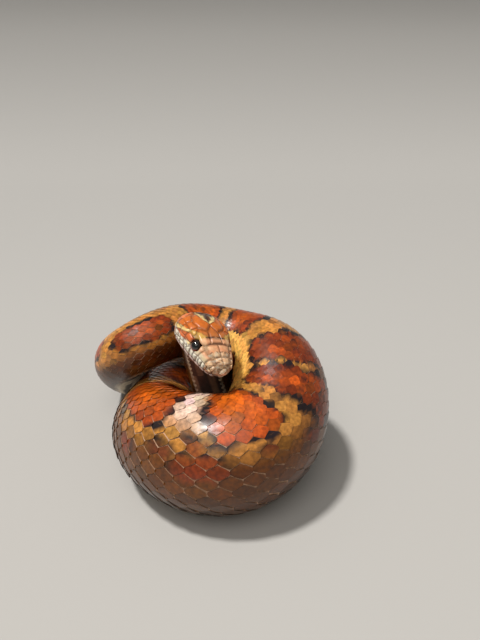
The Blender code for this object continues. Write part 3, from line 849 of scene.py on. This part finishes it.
# How much one scale differs from the next in size, height, place of its colour, tone and tint.
SIZE_SCATTER, LIFT_SCATTER, PLACE_SCATTER, TONE_SCATTER, TINT_SCATTER = 0.025, 0.08, 0.35, 0.16, 0.04
across, lengthwise, height = SCALE_CO.T
for group, rows in enumerate(np.array_split(PLACES, GROUPS)):
    count = len(rows)
    v0, turn0, pitch, width = rows.T[:, :, None]
    drawn = np.clip(stretch(turn0.ravel(), v0.ravel()), 0.6, 2.2)[:, None]
    size = 1 + SIZE_SCATTER * scatter.standard_normal((count, 1))
    v = v0 + lengthwise * (pitch * (1 / np.maximum(drawn, 1) ** 0.22) * size)
    turn = turn0 + across * (width * size * (1 - 0.03 * np.clip(drawn - 1, 0, 1)))
    lift = height * (width * body_half(v0)) * (1 + LIFT_SCATTER * scatter.standard_normal((count, 1)))
    v = np.clip(v, 0.5, TOTAL - 0.2)
    co = surface(turn, v, lift)
    stray = PLACE_SCATTER * scatter.standard_normal((count, 1))
    seen_v = 0.5 * v0 + 0.5 * v + stray * pitch * 0.4
    seen_turn = 0.5 * turn0 + 0.5 * turn
    base = markings(seen_v.ravel(), seen_turn.ravel()).reshape(count, -1, 3)
    tone = 1 + TONE_SCATTER * scatter.standard_normal((count, 1, 1))
    tone = tone + TINT_SCATTER * scatter.standard_normal((count, 1, 3))
    # Each scale is painted brighter in its middle and darker toward its rim, painted shade on its dome. Its
    # rim then turns pale: pale stretched hide where the bend draws it out, and painted sheen along the edges
    # everywhere, with less of it low on the sides.
    colours = np.clip(base * tone, 0, 1) * (0.8 + 0.3 * SCALE_NEAR[:, None])
    pale = 0.72 + 0.28 * np.clip((drawn - 0.95) / 0.3, 0, 1) - 0.5 * eased((np.abs(turn0) - 0.7) / 0.6)
    pale = pale * np.clip(2.2 * (0.68 - SCALE_NEAR), 0, 1)
    colours = (colours + (RIM_PALE_AND_SHEEN - colours) * pale[..., None]).reshape(-1, 3)
    uv = bake_patches(*rows.T[:2], 0.0026)
    coat = joined(f"scales_{group + 1}", co, SCALE_FACES, count, colours, uv)
    coat.data.materials.append(scale_horn)
    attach(coat, "root")

# Small smooth scales of the throat, from the chin shields back to the first belly plate.
THROAT_PITCH = 1.35
THROAT_SCALE_LENGTH = 1.9
CHIN_HALF_WIDTH = [8, 11.5, 15.2], [3.2, 3.4, 2.6]


def jaw_reach(v):
    """Radius of the jaw's underside, in mm."""
    return float(np.mean(head_section(v)[:3:2]))


throat = []
for i, v in enumerate(np.arange(8.6, 27.0, 1.25)):
    lowest = float(lip_turn(v)) + math.radians(17)
    reach = jaw_reach(v)
    if v > 22:
        lowest = math.radians(min(math.degrees(lowest) - (v - 22) * 8, 150))
    count = int((math.pi - lowest) * reach / THROAT_PITCH)
    for j in range(-count, count + 1):
        off = (j + (0.5 if i % 2 else 0.0)) * THROAT_PITCH / reach
        on_chin = v < 15.2 and abs(off) * reach < np.interp(v, *CHIN_HALF_WIDTH)
        on_plates = v > 21.5 and abs(off) < 0.62
        if not on_chin and not on_plates:
            throat.append((v, off - math.pi if off > 0 else off + math.pi, THROAT_PITCH / reach))
v0, turn0, width = np.array(throat).T
v = v0[:, None] + lengthwise * THROAT_SCALE_LENGTH
turn = turn0[:, None] + across * width[:, None]
co = surface(turn, v, height * THROAT_PITCH + 0.02)
colours = markings(v.ravel(), (turn.ravel() + math.pi) % (2 * math.pi) - math.pi)
throat_coat = joined("throat_scales", co, SCALE_FACES, len(v0), colours, bake_patches(v0, turn0, 0.0012))
throat_coat.data.materials.append(scale_horn)
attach(throat_coat, "root")

# ---------------------------------------------------------------- Belly plates
# One wide plate across the belly for each step of the scales, overlapping backward like roof tiles; smooth
# hard horn, cream with black blocks. Behind the vent they narrow under the tail.
PLATE_ACROSS = 14
form = bmesh.new()
bmesh.ops.create_grid(form, x_segments=PLATE_ACROSS, y_segments=3, size=1)
bmesh.ops.recalc_face_normals(form, faces=form.faces)
shell = bmesh.ops.extrude_face_region(form, geom=form.faces[:])
for item in shell["geom"]:
    if isinstance(item, bmesh.types.BMVert):
        item.co.z = -1.0
bmesh.ops.recalc_face_normals(form, faces=form.faces)
plate_co, plate_faces = form_data(form)
belly_v = columns(22.0, TOTAL - 3)
x, y, z = plate_co.T
v = np.clip(belly_v[:, None] + (0.15 + 0.75 * y) * scale_pitch(belly_v)[:, None], 15, TOTAL - 0.2)
turn = np.broadcast_to(math.pi + x * (BELLY_HALF_ANGLE + 0.10), v.shape)
turn = np.where(turn > math.pi, turn - 2 * math.pi, turn)
lift = 0.10 * (y + 1) / 2 - 0.03 - 0.05 * np.abs(x) ** 6 + np.where(z < -0.5, -0.11, 0.0)
co = surface(turn, v, lift * row_width(belly_v)[:, None])
colours = belly_colour(np.repeat(belly_v, len(plate_co)), turn.ravel())
root = (belly_v / TOTAL * BAKE_SPAN + BAKE_EDGE)[:, None]
uv = np.stack([root + y * 0.0013, np.broadcast_to(0.99 + x * 0.0013, v.shape)], 2).reshape(-1, 2)
belly = joined("belly_plates", co, plate_faces, len(belly_v), colours, uv)
belly_horn = hide_material("belly_horn", roughness=0.32, bump=0.15, grain=3000, coat=0.2)
belly.data.materials.append(belly_horn)
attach(belly, "root")

# ---------------------------------------------------------------- Head shields
# Large fixed plates of smooth horn over the crown, face, lips and chin, each with a rounded edge and a thin
# seam to its neighbours. They are rooted in the skin and leave the eyes and nostrils free.
# Height, distance along and radius of the openings at the eye and the nostril.
OPENINGS = [(SIGHT_HEIGHT, SIGHT_ALONG, 2.0), (NOSTRIL_HEIGHT, NOSTRIL_ALONG, 0.42)]
SEAM_TAN = linear(150, 118, 96)
LONGEST_EDGE = 0.75
RIM_DROP, FOOT_DROP = 0.12, 0.5
ROUND_WIDTH, SEAM_WIDTH = 0.24, 0.17


def nose_distance(u, h):
    """Distance along the head at which the snout's surface lies behind a point of its front view."""
    low, high = np.full(len(u), SNOUT_START), np.full(len(u), 9.0)

    def filled(v):
        side, crown, chin, square = head_section(v)
        tall = np.where(h > 0, (np.abs(h) / crown) ** (2 / square), (np.abs(h) / chin) ** 2)
        return (np.abs(u) / side) ** (2 / (0.5 + square / 2)) + tall

    for _ in range(30):
        middle = (low + high) / 2
        inside = filled(middle) > 1
        low = np.where(inside, middle, low)
        high = np.where(inside, high, middle)
    cap = filled(np.zeros(len(u)))
    return np.where(cap < 1, SNOUT_START - SNOUT_ROUND * np.sqrt(np.maximum(1 - cap, 0)), (low + high) / 2)


def height_cosine(h, v):
    """Cosine of the angle round the head at a height of its surface."""
    crown, chin, square = head_section(v)[1:]
    return np.where(h > 0, np.clip(h / crown, 0, 1) ** (1 / square), -np.clip(-h / chin, 0, 1))


def head_place(kind, side, p, q):
    """Side, distance and height of points given in one of the head's views: crown, face, jaw or front."""
    if kind == "front":
        return side * p, nose_distance(p, q), q
    half, crown, chin, square = head_section(q)
    if kind == "crown":
        sine = np.clip(np.abs(p) / half, 0, 0.999) ** (1 / (0.5 + square / 2))
        return side * p, q, crown * np.sqrt(1 - sine * sine) ** square
    if kind == "face":
        return side * half * np.sqrt(1 - height_cosine(p, q) ** 2) ** (0.5 + square / 2), q, p
    u, h = head_outline(np.pi - p / ((half + chin) / 2), q)
    return side * u, q, h


def head_point(kind, side, p, q):
    u, v, h = head_place(kind, side, p, q)
    return set_on_line(u, np.maximum(v, 0.0), h) + SHIFT


def shield(kind, side, corners, rise=0.16, round_off=0.28, brow=0.0):
    """One plate: its outline in a view of the head, a sunk rim, a rounded edge and a low swell."""
    form = bmesh.new()
    face = form.faces.new([form.verts.new((p, q, 0)) for p, q in corners])
    bmesh.ops.bevel(form, geom=form.verts[:], offset=round_off, offset_type="OFFSET", segments=2, profile=0.5,
                    affect="VERTICES", material=-1)
    for _ in range(4):
        long = [edge for edge in form.edges if edge.calc_length() > LONGEST_EDGE]
        if long:
            bmesh.ops.subdivide_edges(form, edges=long, cuts=1)
    if kind == "face":
        for p0, q0, radius in OPENINGS:
            for vert in form.verts:
                away = Vector((vert.co.x - p0, vert.co.y - q0))
                if away.length < radius:
                    away = away.normalized() * radius
                    vert.co.x, vert.co.y = p0 + away.x, q0 + away.y
        bmesh.ops.remove_doubles(form, verts=form.verts, dist=0.04)
    face = form.faces[:][0]
    edge_co = np.array([vert.co[:2] for vert in face.verts])
    bmesh.ops.inset_region(form, faces=[face], thickness=0.06, depth=0)
    bmesh.ops.inset_region(form, faces=[face], thickness=0.10, depth=0)
    bmesh.ops.poke(form, faces=[face])
    bmesh.ops.subdivide_edges(form, edges=form.edges, cuts=2 if len(edge_co) > 14 else 1, use_grid_fill=True)
    top = set(form.verts)
    rim = [edge for edge in form.edges if edge.is_boundary]
    bmesh.ops.extrude_edge_only(form, edges=rim)
    bmesh.ops.holes_fill(form, edges=[edge for edge in form.edges if edge.is_boundary], sides=0)
    form.verts.index_update()
    flat = np.array([vert.co for vert in form.verts])
    under = np.array([vert not in top for vert in form.verts])
    p, q = flat[:, 0], flat[:, 1]
    start, end = edge_co, np.roll(edge_co, -1, axis=0)
    span = end - start
    share = np.sum((flat[:, None, :2] - start) * span, axis=2) / np.maximum(np.sum(span * span, axis=1), 1e-9)
    foot = start + np.clip(share, 0, 1)[..., None] * span
    inside = np.min(np.linalg.norm(flat[:, None, :2] - foot, axis=2), axis=1)
    rounded = np.sqrt(1 - (1 - np.clip(inside / ROUND_WIDTH, 0, 1)) ** 2)
    lift = -RIM_DROP + (rise + RIM_DROP) * rounded + 0.05 * inside / max(inside.max(), 0.3)
    lift = np.where(under, -FOOT_DROP, lift) + brow * eased((np.abs(p) - 4.4) / 2.2)
    step = 0.05
    across = head_point(kind, side, p + step, q) - head_point(kind, side, p - step, q)
    lengthwise = head_point(kind, side, p, q + step) - head_point(kind, side, p, q - step)
    normal = np.cross(across, lengthwise)
    normal /= np.linalg.norm(normal, axis=1)[:, None] + 1e-12
    base = head_point(kind, side, p, q)
    u, v, h = head_place(kind, side, p, q)
    middle = at(LINE[:, :3], np.maximum(v, 0) + 2.5) * MM + SHIFT
    normal *= np.where(np.sum(normal * (base - middle), axis=1) < 0, -1, 1)[:, None]
    co = base + normal * (lift * MM)[:, None]
    v = np.maximum(v, 0)
    half, square = head_section(v)[::3]
    sine = np.sign(u) * np.clip(np.abs(u) / half, 0, 1) ** (1 / (0.5 + square / 2))
    turn = np.arctan2(sine, height_cosine(h, v))
    colours = head_markings(np.clip(v, 0.3, HEAD_END), turn)
    on_crown = (np.abs(turn) < 1.2) & (v > 7)
    seam = np.where(on_crown[:, None], colours * 0.3, SEAM_TAN)
    colours = blend(colours, seam, 0.45 * np.clip(1 - inside / SEAM_WIDTH, 0, 1))
    for vert, place in zip(form.verts, co):
        vert.co = place
    bmesh.ops.recalc_face_normals(form, faces=form.faces)
    return form, colours, np.stack([v / TOTAL, (turn / math.pi + 1) / 2], 1)


def shield_group(name, plates, material):
    """Plates joined as one piece."""
    whole = bmesh.new()
    colours, places = [], []
    for kind, side, corners, options in plates:
        form, colour, place = shield(kind, side, corners, **options)
        part = bpy.data.meshes.new("plate")
        form.to_mesh(part)
        form.free()
        whole.from_mesh(part)
        bpy.data.meshes.remove(part)
        colours.append(colour)
        places.append(place)
    piece = coloured_mesh(name, whole, np.concatenate(colours))
    places = np.concatenate(places)
    layer = piece.data.uv_layers.new(name="OFBake")
    corner_verts = np.zeros(len(piece.data.loops), np.int32)
    piece.data.loops.foreach_get("vertex_index", corner_verts)
    uv = places[corner_verts] * BAKE_SPAN + BAKE_EDGE
    layer.data.foreach_set("uv", uv.astype(np.float32).ravel())
    piece.data.materials.append(material)
    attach(piece, "root")
    return piece


shield_horn = hide_material("shield_horn", roughness=0.36, bump=0.2, grain=4200, coat=0.3, mottle=0.12)
CROWN_PLATES = [
    [(0.07, 2.3), (2.4, 2.5), (3.0, 3.5), (2.9, 4.9), (0.07, 5.1)],
    [(0.07, 5.25), (2.9, 5.05), (4.5, 6.6), (4.8, 9.5), (2.75, 9.95), (0.07, 9.95)],
    [(2.7, 10.2), (4.9, 9.8), (5.9, 10.4), (6.4, 11.6), (6.5, 12.8), (6.65, 14.7), (5.2, 16.7), (2.25, 15.2)],
    [(0.07, 18.3), (2.2, 15.6), (5.1, 17.2), (6.5, 19.6), (5.9, 23.3), (4.1, 26.2), (0.07, 26.6)],
    [(6.85, 14.8), (7.7, 14.7), (8.15, 16.9), (5.5, 17.0)],
    [(5.4, 17.25), (8.2, 17.15), (8.6, 20.7), (6.7, 20.7), (6.75, 19.6)],
    [(6.65, 20.9), (8.65, 20.9), (8.95, 24.7), (5.6, 25.2), (6.15, 23.3)],
]
OVER_EYE = CROWN_PLATES[2]
crown = [("crown", 1, [(-2.5, 10.2), (2.5, 10.2), (2.0, 15.3), (0, 18.1), (-2.0, 15.3)], {})]
for corners in CROWN_PLATES:
    options = {"brow": 0.2} if corners is OVER_EYE else {}
    crown += [("crown", side, corners, options) for side in (1, -1)]
shield_group("crown_shields", crown, shield_horn)

FACE_PLATES = [
    [(0.35, 1.75), (2.0, 2.0), (2.4, 2.8), (0.35, 2.8)],
    [(0.4, 2.95), (2.55, 3.0), (3.1, 4.9), (0.6, 5.0)],
    [(0.7, 5.2), (3.3, 5.2), (3.7, 8.3), (0.7, 8.5)],
    [(0.65, 8.7), (3.9, 8.5), (4.4, 10.6), (3.6, 9.95), (2.6, 9.65), (1.6, 9.95), (0.8, 10.7), (-0.2, 10.4)],
    [(1.65, 13.7), (3.8, 13.9), (4.1, 16.8), (1.7, 16.9)],
    [(-0.7, 13.6), (1.45, 13.6), (1.5, 16.9), (-0.6, 17.0)],
    [(1.8, 17.1), (4.6, 17.0), (4.2, 20.7), (1.5, 20.9)],
    [(-0.8, 17.2), (1.6, 17.1), (1.3, 20.9), (-1.1, 20.9)],
    [(2.5, 21.0), (4.6, 20.9), (5.0, 24.4), (2.7, 24.6)],
    [(0.6, 21.1), (2.3, 21.1), (2.5, 24.6), (0.6, 24.6)],
    [(-1.3, 21.1), (0.4, 21.1), (0.4, 24.6), (-1.5, 24.6)],
]
# Upper edge of the lip plates: distance along, height. They pass below the nostril and the eye.
LIP_TOP = [
    (1.9, 0.15), (3.9, 0.2), (5.1, 0.5), (8.6, 0.5), (10.5, -0.25), (11.2, 0.45), (12.6, 0.5),
    (13.5, -0.2), (14.6, -0.9), (16, -0.85), (19.6, -1.25), (23.2, -1.65), (25.6, -1.8),
]
# How far each plate of the lower jaw reaches below the mouth line, in degrees.
JAW_DEPTHS = [24, 22, 19, 17, 15, 14, 13, 12, 11]
PLATE_GAP = 0.07
lips = []
for near, far in zip(LIP_EDGES, LIP_EDGES[1:]):
    along = near + PLATE_GAP, (near + far) / 2, far - PLATE_GAP
    corners = [(float(np.interp(v, *zip(*LIP_TOP))), v) for v in along]
    for v in reversed(along):
        corners.append((float(head_section(v)[2] * math.cos(lip_turn(v) - math.radians(2.0))), v))
    lips.append(("face", corners))
for deep, near, far in zip(JAW_DEPTHS, JAW_EDGES, JAW_EDGES[1:]):
    near, far = near + PLATE_GAP, far - PLATE_GAP
    corners = []
    for v, below in ((near, 2.2), (far, 2.2), (far, deep), (near, deep)):
        turn = float(lip_turn(v)) + math.radians(below)
        corners.append(((math.pi - turn) * jaw_reach(v), v))
    lips.append(("jaw", corners))
CHIN_PLATES = [
    [(0.1, 2.7), (1.9, 3.1), (2.7, 5.8), (2.5, 8.2), (0.1, 8.0)],
    [(0.1, 8.2), (2.5, 8.5), (3.0, 11.0), (2.2, 14.4), (0.3, 14.2)],
]
SNOUT_PLATE = [
    (-1.9, -0.75), (1.9, -0.75), (2.2, 0.3), (1.5, 1.6), (0.6, 2.35), (-0.6, 2.35), (-1.5, 1.6), (-2.2, 0.3),
]
CHIN_TIP = [(-1.4, -0.98), (1.4, -0.98), (0.6, -2.1), (-0.6, -2.1)]
face = [("front", 1, SNOUT_PLATE, {}), ("front", 1, CHIN_TIP, {})]
for side in (1, -1):
    face += [("face", side, corners, {}) for corners in FACE_PLATES]
    face += [(kind, side, corners, {"round_off": 0.18}) for kind, corners in lips]
    face += [("jaw", side, corners, {}) for corners in CHIN_PLATES]
shield_group("face_plates", face, shield_horn)

# ---------------------------------------------------------------- Eyes
# Round eyes under a clear fixed scale: a black round pupil nearly fills the dark red-brown iris. Each is one
# ball of glass-smooth tissue set in its socket and turned outward, upward and a little forward.
wet = {"Roughness": 0.1, "Coat Weight": 1.0, "Coat Roughness": 0.02}
eye_gloss, tree, inputs = new_material("eye_gloss", wet)
tree.links.new(own_marks(tree), inputs["Base Color"])
EYE_RADIUS = 2.35
PUPIL_RADIUS = 1.62
IRIS_RED, IRIS_DARK, PUPIL_BLACK = linear(134, 46, 24), linear(38, 18, 14), linear(6, 5, 5)
eye_at = np.array([EYE_ALONG])
leftward, upward, backward = (at(table, eye_at)[0] for table in (LEFT, BACK, ALONG))
for label, side in (("left", 1), ("right", -1)):
    middle = Vector(set_on_line(np.array([side * EYE_SIDE]), eye_at, np.array([EYE_HEIGHT]))[0] + SHIFT)
    outward = Vector(leftward * side * 0.74 + upward * 0.5 - backward * 0.43)
    bm = bmesh.new()
    bmesh.ops.create_uvsphere(bm, u_segments=48, v_segments=32, radius=EYE_RADIUS * MM)
    turn_out = Vector((0, 0, 1)).rotation_difference(outward)
    bmesh.ops.rotate(bm, verts=bm.verts, matrix=turn_out.to_matrix())
    off_axis = np.array([vert.co.angle(outward) * EYE_RADIUS for vert in bm.verts])
    bmesh.ops.translate(bm, verts=bm.verts, vec=middle)
    high = np.array([(vert.co - middle).normalized() @ Vector(upward) for vert in bm.verts])
    iris = blend(IRIS_RED, IRIS_DARK, 0.4 + 2.2 * high)
    colours = blend(iris, PUPIL_BLACK, soft_step(PUPIL_RADIUS - off_axis, 0.12))
    eye = coloured_mesh("eyeball_" + label, bm, colours)
    eye.data.materials.append(eye_gloss)
    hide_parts("eye_" + label)
    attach(eye, "root")

# ---------------------------------------------------------------- Floor, light and camera
# A sweep of pale paper, curved up behind the model; a high sun a little from the left as key, a weak disk
# of fill from above the front, and the camera over the front of the coil.
SWEEP_HALF, SWEEP_RISE, SWEEP_CURVE = 1.6, 1.8, 0.7
bm = bmesh.new()
bmesh.ops.create_grid(bm, x_segments=1, y_segments=1, size=SWEEP_HALF)
back_edge = [edge for edge in bm.edges if all(vert.co.y > 0 for vert in edge.verts)]
raised = bmesh.ops.extrude_edge_only(bm, edges=back_edge)["geom"]
raised = [item for item in raised if isinstance(item, bmesh.types.BMVert)]
bmesh.ops.translate(bm, verts=raised, vec=(0, 0, SWEEP_RISE))
fold = [edge for edge in bm.edges if all(vert.co.y > 0 and vert.co.z < 0.1 for vert in edge.verts)]
bmesh.ops.bevel(bm, geom=fold, offset=SWEEP_CURVE, offset_type="OFFSET", segments=12, profile=0.5,
                affect="EDGES", material=-1)
floor_mesh = bpy.data.meshes.new("studio_sweep")
bm.to_mesh(floor_mesh)
bm.free()
floor_mesh.shade_smooth()
floor = placed_object("studio_sweep", floor_mesh)
paper = new_material("sweep_paper", {"Base Color": (0.5, 0.49, 0.47, 1), "Roughness": 0.9})
floor.data.materials.append(paper[0])

world = bpy.data.worlds.new("studio")
world.use_nodes = True
background = world.node_tree.nodes["Background"].inputs
background["Color"].default_value = (1.0, 0.98, 0.95, 1)
background["Strength"].default_value = 0.22
bpy.context.scene.world = world
bpy.context.scene.view_settings.view_transform = "Standard"


def hung_lamp(name, kind, power, colour, direction):
    """A lamp turned to shine in a direction."""
    light = bpy.data.lights.new(name, kind)
    light.energy = power
    light.color = colour
    lamp = placed_object(name, light)
    lamp.rotation_euler = direction.to_track_quat("-Z", "Y").to_euler()
    return lamp


key = hung_lamp("key", "SUN", 2.7, (1.0, 0.97, 0.93), Vector((0.36, 0.0, -0.95)))
key.data.angle = math.radians(7)
FILL_PLACE, FILL_AIM = Vector((-0.1, -0.4, 0.6)), Vector((0, 0, 0.03))
fill = hung_lamp("fill", "AREA", 1.2, (1.0, 0.95, 0.88), FILL_AIM - FILL_PLACE)
fill.location = FILL_PLACE
fill.data.shape = "DISK"
fill.data.size = 0.5

CAMERA_PLACE = (0.0, -155.03, 139.57)
CAMERA_DOWN = math.radians(23.435)
CAMERA_RIGHT = math.radians(3.677)
camera_data = bpy.data.cameras.new("camera")
camera_data.lens = 27
camera_data.sensor_width = 36
camera_data.clip_start = 0.005
camera = placed_object("camera", camera_data)
camera.location = Vector(np.array(CAMERA_PLACE) * MM + SHIFT)
camera.rotation_euler = (math.pi / 2 - CAMERA_DOWN, 0, -CAMERA_RIGHT)
bpy.context.scene.camera = camera
